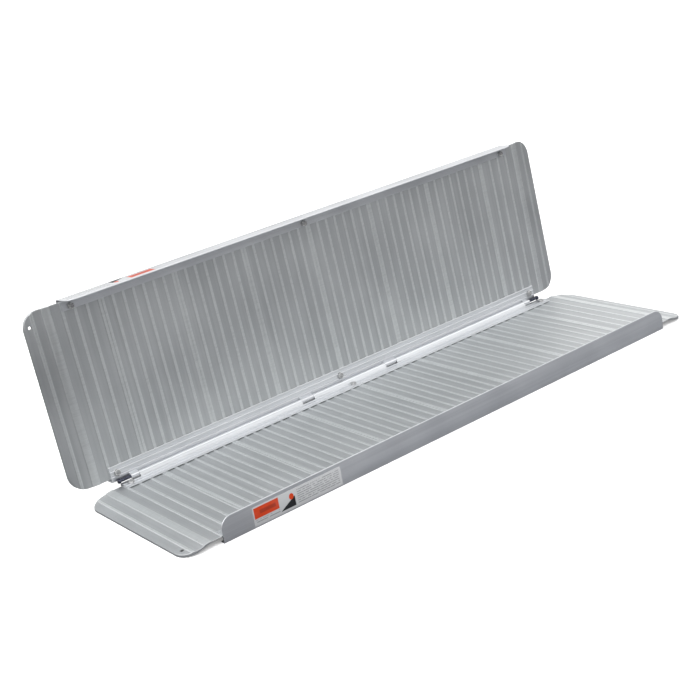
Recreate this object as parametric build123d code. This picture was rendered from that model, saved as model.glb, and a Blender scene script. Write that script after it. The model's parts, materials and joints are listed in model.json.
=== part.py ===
from build123d import *
import os
from math import cos, radians, sin

# Folding aluminium threshold ramp, in mm. Two decks of interlocking planks are hinged along their
# inner long edge. X runs along the ramp, the hinge axis is parallel to X, and the ramp stands on z = 0.
# Each half is first built flat and open, with the hinge axis through (0, 0, 0) and the deck towards -Y.
# There v is the distance from the hinge axis, and n is the height above the crests of the deck ribs.

# overall
plank_pitch = 152.4          # width of one extruded plank, along the ramp
full_planks = 6              # whole planks in each half, between the two end plates
rail_length = 7 * plank_pitch
half_width = 342.9           # hinge axis to the outer face of the curb
end_reach = 72.6             # end plate beyond the ends of the rails
half_stagger = 6.35          # each half is this far off the centre of the hinge, along the ramp
axis_height = 6.8            # hinge axis above the deck
ground_drop = 13.7           # deck down to the ground
open_angle = 84.8            # turn of the upper half from lying flat open to its rest pose

# planks
skin = 2.0
rib_height = 1.0
rib_base = 7.0
rib_crest = 4.2
rib_pitch = 21.04
ribs_per_plank = 6
edge_rib = 6.6               # half rib beside each seam
seam_chamfer = 0.7
web = 1.8
web_foot = 8.0
foot_thickness = 1.6
edge_web = 4.6
tongue = 2.0
tongue_thickness = 2.0
tongue_n = -7.2              # height of the tongue's centre
tongue_play = 0.1
deck_floor = -rib_height     # top of the skin between the ribs
skin_under = deck_floor - skin
support_n = -11.7            # feet of the webs, on the rails' lower flanges
plank_near = 6.5             # planks start this far from the hinge axis
curb_gap = 0.6               # between the planks' ends and the curb wall

# end plates
end_ribs = (28.3, 51.3, 74.8)
end_webs = (17.0, 40.0)
bend = 102.0                 # the plate slopes down from here to the tip of the lip
bend_rib = (95.2, 111.8)     # wide rib over the bend
lip_rib = 130.0
lip_drop = 9.3               # lip's upper edge below the deck
lip_rest = 142.0             # the underside is flat on the ground beyond this
under_bend = 96.0
lip_corner = 32.0
bend_radius = 6.0
anchor_radius = 3.2
anchor_from_rail = 61.0      # anchor hole beyond the end of the rails
anchor_from_face = 30.0      # anchor hole to the curb's outer face

# rails
flange = 2.0
lower_flange_width = 10.0
hinge_flange = 28.8
hinge_wall = 3.0
hinge_gap = 0.15             # wall to the plane of the hinge axis
groove_width = 1.2
groove_depth = 0.4
flange_grooves = (10.2, 20.4)
curb_height = 30.0
curb_wall = 2.4
curb_flange = 20.5
curb_corner = 22.0
curb_root = 2.0

# hinge
pin_radius = 3.0
pin_play = 0.05
barrel_radius = 4.2
barrel_half = 504.0
pin_half = 526.0             # the pin runs on across the notch at each end of the rails
knuckle_gap = 0.5
end_lug = 16.0
middle_lug = 28.0
middle_lug_x = 106.0
cap_radius = 4.4
cap_length = 5.0
cap_bore = 3.4

# fasteners
bolt_radius = 3.1
bolt_hole = 3.4
head_flats = 11.1
head_height = 3.9
head_chamfer = 0.5
washer_radius = 6.6
washer_thickness = 1.2
nut_height = 5.6
bolt_tail = 0.9              # thread past the nut
nut_pocket = 7.2
hinge_bolt_v = 15.2
hinge_bolt_end = 14.5        # from the end of the rail
curb_bolt_face = 14.5        # from the curb's outer face
curb_bolt_end = 17.4
middle_bolt_x = -9.0         # the middle bolt of each rail stands beside the centre seam

# stickers
sticker_length = 182.0
sticker_low = -11.3
sticker_high = 22.9
sticker_thickness = 0.2
lower_sticker_start = 61.0   # from the left end of the rail
upper_sticker_start = 4.0

plank_far = half_width - curb_wall - curb_gap
end_plate_length = plank_pitch / 2 + end_reach


def z_of(n):
    return n - axis_height


def polygon(points):
    return make_face(Polyline(*points, close=True))


def across(face, near, far):
    # a section drawn in X-Z, carried along -Y from v = near to v = far
    return extrude(Plane.XZ.offset(near) * face, amount=far - near)


def along(face, start, end):
    # a section drawn with -Y and Z as its axes, carried along X
    return extrude(Plane.YZ.offset(start) * face, amount=end - start)


def block(x_low, x_high, v_low, v_high, n_low, n_high):
    size = (x_high - x_low, v_high - v_low, n_high - n_low)
    centre = ((x_low + x_high) / 2, -(v_low + v_high) / 2, z_of((n_low + n_high) / 2))
    return Pos(*centre) * Box(*size)


def upright(radius, x, v, n_low, n_high):
    return Pos(x, -v, z_of((n_low + n_high) / 2)) * Cylinder(radius, n_high - n_low)


def rib_section(s, floor, slope=0.0):
    # slope tilts the rib with the plate that it stands on
    half_base = rib_base / 2
    half_crest = rib_crest / 2
    points = [(-half_base, -skin / 2), (half_base, -skin / 2), (half_base, 0), (half_crest, rib_height),
              (-half_crest, rib_height), (-half_base, 0)]
    return polygon([(s + d, z_of(floor + rise + slope * d)) for d, rise in points])


def web_section(s):
    stem = Pos(s, z_of((skin_under + support_n) / 2)) * Rectangle(web, skin_under - support_n + 1.0)
    stem &= Pos(s, z_of(support_n / 2)) * Rectangle(web, -support_n)
    foot = Pos(s, z_of(support_n + foot_thickness / 2)) * Rectangle(web_foot, foot_thickness)
    return stem + foot


def seam_edge(s, toward):
    # the thick web and half rib beside a seam: toward is +1 where the plank lies to the right of s
    slope = (rib_base - rib_crest) / 2
    points = [(0, support_n), (edge_web, support_n), (edge_web, deck_floor),
              (edge_rib, deck_floor), (edge_rib - slope, 0), (seam_chamfer, 0), (0, -seam_chamfer)]
    return polygon([(s + toward * d, z_of(n)) for d, n in points])


def tongue_section(s, play):
    height = tongue_thickness + 2 * play
    return Pos(s, z_of(tongue_n)) * Rectangle(2 * (tongue + play), height)


def plank_section():
    # one plank between two seams: groove on its left edge, tongue on its right edge
    middle = plank_pitch / 2
    section = Pos(middle, z_of(deck_floor - skin / 2)) * Rectangle(plank_pitch, skin)
    for index in range(ribs_per_plank):
        section += rib_section(middle + (index - (ribs_per_plank - 1) / 2) * rib_pitch, deck_floor)
    for index in (-1, 0, 1):
        section += web_section(middle + index * 2 * rib_pitch)
    section += seam_edge(0, 1)
    section += seam_edge(plank_pitch, -1)
    section += Pos(tongue / 2 + plank_pitch, z_of(tongue_n)) * Rectangle(tongue, tongue_thickness)
    return section - tongue_section(0, tongue_play)


def end_floor(s):
    # floor between the ribs of an end plate: level up to the bend, then straight down to the tip
    slope = (deck_floor + lip_drop) / (end_plate_length - bend)
    return deck_floor - slope * max(s - bend, 0.0)


def bend_rib_section():
    start, end = bend_rib
    flank = (rib_base - rib_crest) / 2
    points = [(start, -skin / 2), (bend, -skin / 2), (end, -skin / 2), (end, 0), (end - flank, rib_height),
              (bend, rib_height), (start + flank, rib_height), (start, 0)]
    return polygon([(s, z_of(end_floor(s) + rise)) for s, rise in points])


def end_section(has_tongue):
    # an end plate, from its seam at s = 0 out to the lip: the plate bends down to the ground
    lip = end_plate_length
    top = [(0, deck_floor), (bend, deck_floor), (lip, -lip_drop)]
    under = [(lip, -ground_drop), (lip_rest, -ground_drop), (under_bend, skin_under), (0, skin_under)]
    outline = FilletPolyline(*[(s, z_of(n)) for s, n in top + under], close=True,
                             radius=[0, bend_radius, 1.4, 1.0, bend_radius, bend_radius, 0])
    section = make_face(outline)
    for s in end_ribs:
        section += rib_section(s, deck_floor)
    section += bend_rib_section()
    section += rib_section(lip_rib, end_floor(lip_rib), end_floor(bend + 1.0) - deck_floor)
    for s in end_webs:
        section += web_section(s)
    section += seam_edge(0, 1)
    if has_tongue:
        section += Pos(-tongue / 2, z_of(tongue_n)) * Rectangle(tongue, tongue_thickness)
    else:
        section -= tongue_section(0, tongue_play)
    return section


def hinge_bolt_places():
    reach = rail_length / 2 - hinge_bolt_end
    return [(x, hinge_bolt_v) for x in (-reach, middle_bolt_x, reach)]


def curb_bolt_places():
    reach = rail_length / 2 - curb_bolt_end
    return [(x, half_width - curb_bolt_face) for x in (-reach, middle_bolt_x, reach)]


def drilled(piece, nut_side):
    # bolt holes, and from below the room that each nut needs in the webs of a plank
    for x, v in hinge_bolt_places() + curb_bolt_places():
        piece -= upright(bolt_hole, x, v, -ground_drop - 1.0, flange + 1.0)
        if nut_side:
            piece -= upright(nut_pocket, x, v, support_n - 1.0, skin_under)
    return piece


def plank(index):
    start = -rail_length / 2 + plank_pitch * (index + 0.5)
    return drilled(Pos(start, 0, 0) * across(plank_section(), plank_near, plank_far), True)


def end_plate(side):
    # side is -1 for the left end, which has the anchor hole, and +1 for the right end
    seam = rail_length / 2 - plank_pitch / 2
    piece = across(end_section(side < 0), plank_near, plank_far)
    outline = Pos(0, -(plank_near + plank_far) / 2) * Rectangle(2 * end_plate_length, plank_far - plank_near)
    outline = fillet(outline.vertices().group_by(Axis.X)[-1], lip_corner)
    piece &= Pos(0, 0, z_of(-ground_drop - 1.0)) * extrude(outline, amount=ground_drop + 2.0)
    if side < 0:
        piece = mirror(piece, about=Plane.YZ)
    piece = drilled(Pos(side * seam, 0, 0) * piece, True)
    if side < 0:
        x = -rail_length / 2 - anchor_from_rail
        piece -= upright(anchor_radius, x, half_width - anchor_from_face, -ground_drop - 1.0, 0)
    return piece


def curb_rail():
    wall_middle = half_width - curb_wall / 2
    height = curb_height + ground_drop
    section = Pos(-wall_middle, z_of(curb_height - height / 2)) * Rectangle(curb_wall, height)
    section += Pos(-(half_width - curb_flange / 2), z_of(flange / 2)) * Rectangle(curb_flange, flange)
    foot = Pos(-(half_width - lower_flange_width / 2), z_of(-ground_drop + flange / 2))
    section += foot * Rectangle(lower_flange_width, flange)
    corner = Vertex(-(half_width - curb_wall), z_of(flange), 0)
    section = fillet(section.vertices().sort_by_distance(corner)[0], curb_root)
    crown = section.vertices().group_by(Axis.Y)[-1]
    section = fillet(crown, curb_wall * 0.4)
    rail = along(section, -rail_length / 2, rail_length / 2)
    face = Pos(0, z_of(curb_height - height / 2)) * Rectangle(rail_length, height)
    face = fillet(face.vertices().group_by(Axis.Y)[-1], curb_corner)
    rail &= across(face, half_width - curb_flange - 1.0, half_width + 1.0)
    return drilled(rail, False)


def knuckle_section():
    gusset = polygon([(-0.6, z_of(flange)), (-6.6, z_of(flange)), (-4.1, 0.9), (0, 0)])
    return gusset + Circle(barrel_radius)


def hinge_rail(knuckles, stagger):
    # knuckles lists the stretches of barrel that this rail carries, measured from the hinge's centre
    wall_middle = hinge_gap + hinge_wall / 2
    height = ground_drop + flange
    section = Pos(-wall_middle, z_of(flange - height / 2)) * Rectangle(hinge_wall, height)
    width = hinge_flange - hinge_gap
    section += Pos(-(hinge_gap + width / 2), z_of(flange / 2)) * Rectangle(width, flange)
    foot = Pos(-(hinge_gap + lower_flange_width / 2), z_of(-ground_drop + flange / 2))
    section += foot * Rectangle(lower_flange_width, flange)
    for v in flange_grooves:
        section -= Pos(-v, z_of(flange)) * Rectangle(groove_width, 2 * groove_depth)
    rail = along(section, -rail_length / 2, rail_length / 2)
    for start, end in knuckles:
        rail += along(knuckle_section(), start - stagger, end - stagger)
    bore = Pos(-stagger, 0, 0) * Rot(0, 90, 0) * Cylinder(pin_radius + pin_play, 2 * barrel_half + 20)
    return drilled(rail - bore, False)


def lug_stretches():
    # the upper rail carries two end lugs and two middle lugs
    ends = [(-barrel_half, -barrel_half + end_lug), (barrel_half - end_lug, barrel_half)]
    middles = [(x - middle_lug / 2, x + middle_lug / 2) for x in (-middle_lug_x, middle_lug_x)]
    return [ends[0], middles[0], middles[1], ends[1]]


def barrel_stretches():
    # the lower rail carries the long knuckles between those lugs
    lugs = lug_stretches()
    return [(left[1] + knuckle_gap, right[0] - knuckle_gap) for left, right in zip(lugs, lugs[1:])]


def hex_prism(flats, height):
    return extrude(RegularPolygon(flats / 2, 6, major_radius=False), amount=height)


def bolt(x, v):
    # hex bolt: its head's underside is on the flange, its tail comes just past the nut
    head = hex_prism(head_flats, head_height)
    turned = Cone(head_flats / 2 + head_height, head_flats / 2 - head_chamfer, head_height + head_chamfer,
                  align=(Align.CENTER, Align.CENTER, Align.MIN))
    head &= turned
    tail = skin_under - washer_thickness - nut_height - bolt_tail
    shank = upright(bolt_radius, x, v, tail, flange)
    return Pos(x, -v, z_of(flange)) * head + shank


def washer(x, v):
    top = skin_under
    ring = upright(washer_radius, x, v, top - washer_thickness, top)
    return ring - upright(bolt_radius, x, v, top - 2 * washer_thickness, top + 1.0)


def lock_nut(x, v):
    # hex lower part with a round collar that holds the locking ring
    top = skin_under - washer_thickness
    hexagon = Pos(x, -v, z_of(top - nut_height * 0.7)) * hex_prism(head_flats, nut_height * 0.7)
    collar = upright(head_flats / 2 - 0.7, x, v, top - nut_height, top - nut_height * 0.6)
    return hexagon + collar - upright(bolt_radius, x, v, top - nut_height - 1.0, top + 1.0)


def group(make, places):
    return Compound(children=[make(x, v) for x, v in places])


def sticker(start):
    x = -rail_length / 2 + start
    return block(x, x + sticker_length, half_width, half_width + sticker_thickness, sticker_low, sticker_high)


def hinge_pin():
    return Rot(0, 90, 0) * Cylinder(pin_radius, 2 * (pin_half + cap_bore))


def pin_caps():
    caps = []
    for side in (-1, 1):
        cap = Pos(side * (pin_half + cap_length / 2), 0, 0) * Rot(0, 90, 0) * Cylinder(cap_radius, cap_length)
        bore = Pos(side * (pin_half + cap_bore / 2), 0, 0) * Rot(0, 90, 0) * Cylinder(pin_radius, cap_bore)
        caps.append(cap - bore)
    return Compound(children=caps)


def half_pieces(knuckles, stagger, sticker_start):
    pieces = {"hinge_rail": hinge_rail(knuckles, stagger), "curb_rail": curb_rail()}
    pieces["end_plate_left"] = end_plate(-1)
    pieces["end_plate_right"] = end_plate(1)
    for index in range(full_planks):
        pieces[f"plank_{index + 1}"] = plank(index)
    for name, places in (("hinge", hinge_bolt_places()), ("curb", curb_bolt_places())):
        pieces[f"{name}_bolts"] = group(bolt, places)
        pieces[f"{name}_washers"] = group(washer, places)
        pieces[f"{name}_lock_nuts"] = group(lock_nut, places)
    pieces["sticker"] = sticker(sticker_start)
    return {name: Pos(stagger, 0, 0) * shape for name, shape in pieces.items()}


def build():
    nodes = {"hinge_pin": hinge_pin(), "pin_caps": pin_caps()}
    lower = half_pieces(barrel_stretches(), half_stagger, lower_sticker_start)
    upper = half_pieces(lug_stretches(), -half_stagger, upper_sticker_start)
    for name, shape in lower.items():
        nodes[f"lower_{name}"] = shape
    for name, shape in upper.items():
        flat = mirror(shape, about=Plane.XZ)
        nodes[f"upper_{name}"] = Rot(open_angle, 0, 0) * flat
    return nodes


# depth of the standing ramp: from the lower curb's sticker to the back of the leaning upper half
back_v = half_width
back_y = back_v * cos(radians(open_angle)) + (ground_drop + axis_height) * sin(radians(open_angle))
front_y = -half_width - sticker_thickness
axis_y = -(back_y + front_y) / 2
axis_z = axis_height + ground_drop
placing = Pos(0, axis_y, axis_z)

os.makedirs("parts", exist_ok=True)
for node, shape in build().items():
    export_step(placing * shape, f"parts/{node}.step")
print("hinge axis at y", round(axis_y, 4), "z", round(axis_z, 4))
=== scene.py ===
import json

import bmesh
import bpy
import numpy as np
from mathutils import Matrix, Vector


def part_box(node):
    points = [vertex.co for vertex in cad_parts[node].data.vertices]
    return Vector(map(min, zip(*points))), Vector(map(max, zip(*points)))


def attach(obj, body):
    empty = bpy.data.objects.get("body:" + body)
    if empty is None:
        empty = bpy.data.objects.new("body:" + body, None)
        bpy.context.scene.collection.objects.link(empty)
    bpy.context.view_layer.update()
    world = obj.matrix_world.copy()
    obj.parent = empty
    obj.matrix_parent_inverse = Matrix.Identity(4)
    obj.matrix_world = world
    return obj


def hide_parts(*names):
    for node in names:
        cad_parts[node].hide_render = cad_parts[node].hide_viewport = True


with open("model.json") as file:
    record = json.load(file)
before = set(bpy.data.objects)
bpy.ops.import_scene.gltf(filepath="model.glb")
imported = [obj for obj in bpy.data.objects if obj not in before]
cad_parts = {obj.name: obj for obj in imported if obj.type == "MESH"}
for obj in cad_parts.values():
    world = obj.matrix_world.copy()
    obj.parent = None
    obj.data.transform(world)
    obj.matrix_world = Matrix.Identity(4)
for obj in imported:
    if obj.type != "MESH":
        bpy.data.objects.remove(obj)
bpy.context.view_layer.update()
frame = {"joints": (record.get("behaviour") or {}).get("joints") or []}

# Lengths in the dictionaries are millimetres unless a note says otherwise.
# A half is described lying flat and open: x along the rails from their middle,
# v away from the hinge axis, n up from the crests of the deck ribs.
millimetre = 0.001
fold = frame["joints"][0]
axisY, axisZ = fold["pos_m"][1], fold["pos_m"][2]
openAngle = np.radians(-fold["range_deg"][0])  # turn of the upper half from lying flat to its rest pose

ramp = {
    "plankPitch": 152.4,
    "plankCount": 6,
    "axisHeight": 6.8,  # hinge axis above the rib crests
    "groundDrop": 13.7,  # rib crests down to the ground
    "plankNear": 6.5,
    "curbWall": 2.4,
    "curbGap": 0.6,
}
railLow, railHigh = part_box("lower_hinge_rail")
railLength = (railHigh.x - railLow.x) / millimetre
halfWidth = (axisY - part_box("lower_curb_rail")[0].y) / millimetre
plankFar = halfWidth - ramp["curbWall"] - ramp["curbGap"]
lipReach = (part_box("lower_end_plate_right")[1].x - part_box("lower_end_plate_right")[0].x) / millimetre


def halfCentre(half):
    low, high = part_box(half + "_hinge_rail")
    return (low.x + high.x) / 2


halves = {
    "lower": {"body": "lower_half", "side": -1, "turn": 0.0, "centre": halfCentre("lower")},
    "upper": {"body": "upper_half", "side": 1, "turn": openAngle, "centre": halfCentre("upper")},
}


def placed(points, half):
    # (x, v, n) of a flat half to row coordinates: v becomes -Y or +Y, then a turn about the hinge axis
    facts = halves[half]
    c, s = np.cos(facts["turn"]), np.sin(facts["turn"])
    y = facts["side"] * points[..., 1] * millimetre
    z = (points[..., 2] - ramp["axisHeight"]) * millimetre
    x = facts["centre"] + points[..., 0] * millimetre
    return np.stack([x, axisY + y * c - z * s, axisZ + y * s + z * c], axis=-1)


def loopFaces(rows, columns, closeRows=False):
    # quads of a grid whose columns wrap round; closeRows joins the last row to the first
    last = rows if closeRows else rows - 1
    i, j = np.meshgrid(np.arange(last), np.arange(columns), indexing="ij")
    following, beside = (i + 1) % rows, (j + 1) % columns
    quads = [i * columns + j, i * columns + beside, following * columns + beside, following * columns + j]
    return np.stack(quads, axis=-1).reshape(-1, 4).tolist()


def tube(stations):
    # closed loops one behind another, with a flat face over the first and the last
    rows, columns = stations.shape[:2]
    faces = loopFaces(rows, columns)
    faces.append(list(range(columns))[::-1])
    faces.append(list(range((rows - 1) * columns, rows * columns)))
    return stations.reshape(-1, 3), faces


def ring(stations):
    # closed loops one behind another, the last joined to the first
    rows, columns = stations.shape[:2]
    return stations.reshape(-1, 3), loopFaces(rows, columns, True)


def makePiece(name, shells, half, body=None, sharp=30.0):
    # several closed shells in one mesh, their faces turned outwards,
    # smooth but for edges above sharp degrees
    points, faces, start = [], [], 0
    for shellPoints, shellFaces in shells:
        points.append(placed(shellPoints, half))
        faces += [[start + index for index in face] for face in shellFaces]
        start += len(shellPoints)
    mesh = bpy.data.meshes.new(name)
    mesh.from_pydata(np.concatenate(points).tolist(), [], faces)
    finishMesh(mesh, sharp)
    piece = bpy.data.objects.new(name, mesh)
    bpy.context.scene.collection.objects.link(piece)
    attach(piece, body or halves[half]["body"])
    return piece


def finishMesh(mesh, sharp=30.0):
    work = bmesh.new()
    work.from_mesh(mesh)
    bmesh.ops.remove_doubles(work, verts=work.verts, dist=1e-6)  # metres
    bmesh.ops.recalc_face_normals(work, faces=work.faces)
    work.to_mesh(mesh)
    work.free()
    mesh.polygons.foreach_set("use_smooth", np.ones(len(mesh.polygons), dtype=bool))
    mesh.set_sharp_from_angle(angle=np.radians(sharp))
    mesh.update()


drilling = {
    "sides": 32,
    "deck": (-20, 5),  # a cutter's two ends, measured from the rib crests
    "rail": (-5, 5),
}


def drill(piece, holes, half):
    # stepped round holes cut through the finished piece: each is x, v and a list of (radius, n) going up
    shells = []
    angle = np.linspace(0, 2 * np.pi, drilling["sides"], endpoint=False)
    cosine, sine = np.cos(angle), np.sin(angle)
    for x, v, steps in holes:
        circles = [np.stack([x + radius * cosine, v + radius * sine, np.full(len(angle), n)], -1)
                   for radius, n in steps]
        shells.append(tube(np.stack(circles)))
    cutter = makePiece(piece.name + "Cutter", shells, half)
    cut = piece.modifiers.new("holes", "BOOLEAN")
    cut.operation = "DIFFERENCE"
    cut.solver = "EXACT"
    cut.object = cutter
    bpy.context.view_layer.update()
    result = bpy.data.meshes.new_from_object(piece.evaluated_get(bpy.context.evaluated_depsgraph_get()))
    piece.modifiers.clear()
    piece.data = result
    result.name = piece.name
    bpy.data.objects.remove(cutter)
    finishMesh(result)
    return piece


def rounded(corners, steps=4):
    # (a, b, radius) corners to a closed outline:
    # each corner becomes an arc, swung between its two tangent points
    corners = np.array(corners, float)
    point, radius = corners[:, :2], corners[:, 2:3]
    back = np.roll(point, 1, axis=0) - point
    ahead = np.roll(point, -1, axis=0) - point
    backLength = np.linalg.norm(back, axis=1, keepdims=True)
    aheadLength = np.linalg.norm(ahead, axis=1, keepdims=True)
    back, ahead = back / backLength, ahead / aheadLength
    inside = np.arccos(np.clip((back * ahead).sum(1, keepdims=True), -1, 1))
    reach = radius / np.tan(inside / 2)
    room = 0.49 * np.minimum(backLength, aheadLength)  # an arc may use just under half of each side
    radius = radius * np.minimum(1, room / np.maximum(reach, 1e-9))
    reach = np.minimum(reach, room)
    middle = back + ahead
    middle = middle / np.maximum(np.linalg.norm(middle, axis=1, keepdims=True), 1e-9)
    centre = point + middle * radius / np.sin(inside / 2)
    start, end = point + back * reach - centre, point + ahead * reach - centre
    swing = np.maximum(np.pi - inside, 1e-6)[:, None, :]
    share = np.linspace(0, 1, steps)[None, :, None]
    arc = start[:, None, :] * np.sin((1 - share) * swing) + end[:, None, :] * np.sin(share * swing)
    return (centre[:, None, :] + arc / np.sin(swing)).reshape(-1, 2)


def inset(outline, amount):
    # an outline moved inwards by amount along its own normals, whichever way round it runs
    tangent = np.roll(outline, -1, axis=0) - np.roll(outline, 1, axis=0)
    tangent /= np.maximum(np.linalg.norm(tangent, axis=1, keepdims=True), 1e-9)
    normal = np.stack([-tangent[:, 1], tangent[:, 0]], axis=1)
    x, y = outline.T
    area = np.sum(x * np.roll(y, -1) - np.roll(x, -1) * y)
    return outline + normal * amount * np.sign(area)


def crossways(outline, near, far, ease=0.25):
    # an (x, n) outline carried along v, with a small bevel at both ends
    places = [(near, ease), (near + ease, 0), (far - ease, 0), (far, ease)]
    loops = [np.insert(inset(outline, amount), 1, v, axis=1) for v, amount in places]
    return tube(np.stack(loops))


def lengthways(outline, start, end, ease=0.25):
    # a (v, n) outline carried along x, with a small bevel at both ends
    places = [(start, ease), (start + ease, 0), (end - ease, 0), (end, ease)]
    loops = [np.insert(inset(outline, amount), 0, x, axis=1) for x, amount in places]
    return tube(np.stack(loops))


def flattened(mesh, half):
    # the mesh's points as (x, v, n) of the half lying flat
    place = np.empty(len(mesh.vertices) * 3)
    mesh.vertices.foreach_get("co", place)
    place = place.reshape(-1, 3)
    facts = halves[half]
    c, s = np.cos(facts["turn"]), np.sin(facts["turn"])
    y, z = place[:, 1] - axisY, place[:, 2] - axisZ
    v = facts["side"] * (y * c + z * s)
    flat = np.stack([place[:, 0] - facts["centre"], v, z * c - y * s], axis=1) / millimetre
    return flat + np.array([0, 0, ramp["axisHeight"]])


# one extruded plank, and what the end plates share with it
plank = {
    "skin": 2.0,
    "ribHeight": 1.0,
    "ribBase": 7.0,
    "ribCrest": 4.2,
    "ribRound": 0.9,
    "ribPitch": 21.04,
    "ribCount": 6,
    "edgeRib": 6.6,
    "seamBevel": 0.7,
    "edgeWeb": 4.6,
    "web": 1.8,
    "foot": 8.0,
    "footThickness": 1.6,
    "support": -11.7,
    "tongue": 2.0,
    "tongueLow": -8.2,
    "tongueHigh": -6.2,
    "play": 0.1,
    "round": 0.2,  # small outer corners
    "bevelRound": 0.4,
    "rootRound": 0.6,  # where a web meets the skin
    "footRound": 0.4,  # where a web meets its foot
}
deckFloor = -plank["ribHeight"]
skinUnder = deckFloor - plank["skin"]


def ribCorners(s, floor):
    # a low trapezoid centred at s, its feet and crest rounded alike
    base, crest = plank["ribBase"] / 2, plank["ribCrest"] / 2
    top, soft = floor + plank["ribHeight"], plank["ribRound"]
    return [(s - base, floor, soft), (s - crest, top, soft),
            (s + crest, top, soft), (s + base, floor, soft)]


def edgeCorners(s, toward):
    # half rib beside a seam, from the seam inwards: bevel, level crest, slope down to the floor
    slope = (plank["ribBase"] - plank["ribCrest"]) / 2
    bevel, reach, soft = plank["seamBevel"], plank["edgeRib"], plank["ribRound"]
    run = [(0, -bevel, plank["round"]), (bevel, 0, plank["bevelRound"]),
           (reach - slope, 0, soft), (reach, deckFloor, soft)]
    corners = [(s + toward * d, n, r) for d, n, r in run]
    return corners if toward > 0 else corners[::-1]


def webCorners(s):
    # one web with its foot, walked from right to left under the skin
    half, foot, low, r = plank["web"] / 2, plank["foot"] / 2, plank["support"], plank["round"]
    high = low + plank["footThickness"]
    right = [(s + half, skinUnder, plank["rootRound"]), (s + half, high, plank["footRound"]),
             (s + foot, high, r), (s + foot, low, r)]
    return right + [(2 * s - a, n, radius) for a, n, radius in right[::-1]]


def tongueCorners(s, toward, play, upwards):
    # tongue, or with some play the groove for one, standing out of a seam face at s
    low, high = plank["tongueLow"] - play, plank["tongueHigh"] + play
    depth, r = plank["tongue"] + play, plank["round"]
    run = [(s, low, r), (s + toward * depth, low, r), (s + toward * depth, high, r), (s, high, r)]
    return run if upwards else run[::-1]


def plankOutline():
    # once round the section: ribs along the top, the tongue on the right, the edge webs
    # and three footed webs below, the groove on the left
    pitch, thick, low, r = ramp["plankPitch"], plank["edgeWeb"], plank["support"], plank["round"]
    middle, root = pitch / 2, plank["rootRound"]
    corners = edgeCorners(0, 1)
    for index in range(plank["ribCount"]):
        corners += ribCorners(middle + (index - (plank["ribCount"] - 1) / 2) * plank["ribPitch"], deckFloor)
    corners += edgeCorners(pitch, -1)
    corners += tongueCorners(pitch, 1, 0, False)
    corners += [(pitch, low, r), (pitch - thick, low, r), (pitch - thick, skinUnder, root)]
    for index in (1, 0, -1):
        corners += webCorners(middle + index * 2 * plank["ribPitch"])
    corners += [(thick, skinUnder, root), (thick, low, r), (0, low, r)]
    corners += tongueCorners(0, 1, plank["play"], True)
    return rounded(corners)


bolts = {
    "hingeV": 15.2,
    "hingeEnd": 14.5,  # from the end of the rail
    "curbFace": 14.5,  # from the curb's outer face
    "curbEnd": 17.4,
    "middleX": -9.0,
    "hole": 3.4,
    "pocket": 7.2,
    "pocketBelow": 1,  # how far a pocket is cut past the feet
}


def boltPlaces(kind):
    # x and v of the three bolts in a hinge rail or a curb rail
    if kind == "hinge":
        end, v = railLength / 2 - bolts["hingeEnd"], bolts["hingeV"]
    else:
        end, v = railLength / 2 - bolts["curbEnd"], halfWidth - bolts["curbFace"]
    return [(x, v) for x in (-end, bolts["middleX"], end)]


def boltHoles(cut, x0, x1):
    # plain holes for the bolts that stand between x0 and x1
    places = boltPlaces("hinge") + boltPlaces("curb")
    return [(x, v, [(bolts["hole"], n) for n in cut]) for x, v in places if x0 < x < x1]


def pocketed(hole):
    # the same hole with a wide pocket below the skin, where the nut stands
    x, v, steps = hole
    wide, low = bolts["pocket"], plank["support"] - bolts["pocketBelow"]
    return x, v, [(wide, low), (wide, skinUnder), (bolts["hole"], skinUnder), steps[-1]]


def makePlanks(half):
    outline = plankOutline()
    for index in range(ramp["plankCount"]):
        start = -railLength / 2 + ramp["plankPitch"] * (index + 0.5)
        shifted = outline + np.array([start, 0])
        shell = crossways(shifted, ramp["plankNear"], plankFar)
        piece = makePiece(f"{half}Plank{index + 1}", [shell], half)
        holes = boltHoles(drilling["deck"], start, start + ramp["plankPitch"])
        if holes:
            drill(piece, [pocketed(hole) for hole in holes], half)
        markCrests(piece, half)
        dress(piece, half, "deck", f"{half}_plank_{index + 1}")


endPlate = {
    "ribs": (28.3, 51.3, 74.8),  # from the plate's seam, as are all lengths along it
    "webs": (17.0, 40.0),
    "bend": 102.0,
    "bendRib": (95.2, 111.8),
    "bendSoft": 2.0,
    "lipRib": 130.0,
    "lipDrop": 9.3,
    "lipRest": 142.0,
    "underBend": 96.0,
    "corner": 32.0,
    "cornerSteps": 26,
    "rim": 0.9,
    "rimEvery": 4,  # the rim takes every fourth of the corner's steps
    "step": 0.7,  # between loops along the plate
    "across": 25,
    "seamSunk": 0.6,  # top of the seam web, below the deck floor
    "webSunk": 0.3,  # top of the other webs, inside the skin
    "webRound": 0.1,
    "webInset": 0.05,  # webs end this far inside the plate's sides
    "anchorRadius": 3.2,
    "anchorBeyondRail": 61.0,
    "anchorFromFace": 30.0,
}


def softened(s, knots, heights):
    # a line through the knots, its bends eased by averaging over a short stretch each side
    spread = np.linspace(-1, 1, 9) * endPlate["bendSoft"]
    return np.mean([np.interp(s + d, knots, heights) for d in spread], axis=0)


def ribLift(s, start, end):
    # raised cosine flanks and a flat crest between the feet at start and end
    flank = (plank["ribBase"] - plank["ribCrest"]) / 2
    share = np.clip(np.minimum(s - start, end - s) / flank, 0, 1)
    return plank["ribHeight"] * 0.5 * (1 - np.cos(np.pi * share))


def endFloor(s):
    # level up to the bend, then straight down to the lip's tip
    return softened(s, [0, endPlate["bend"], lipReach], [deckFloor, deckFloor, -endPlate["lipDrop"]])


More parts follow.
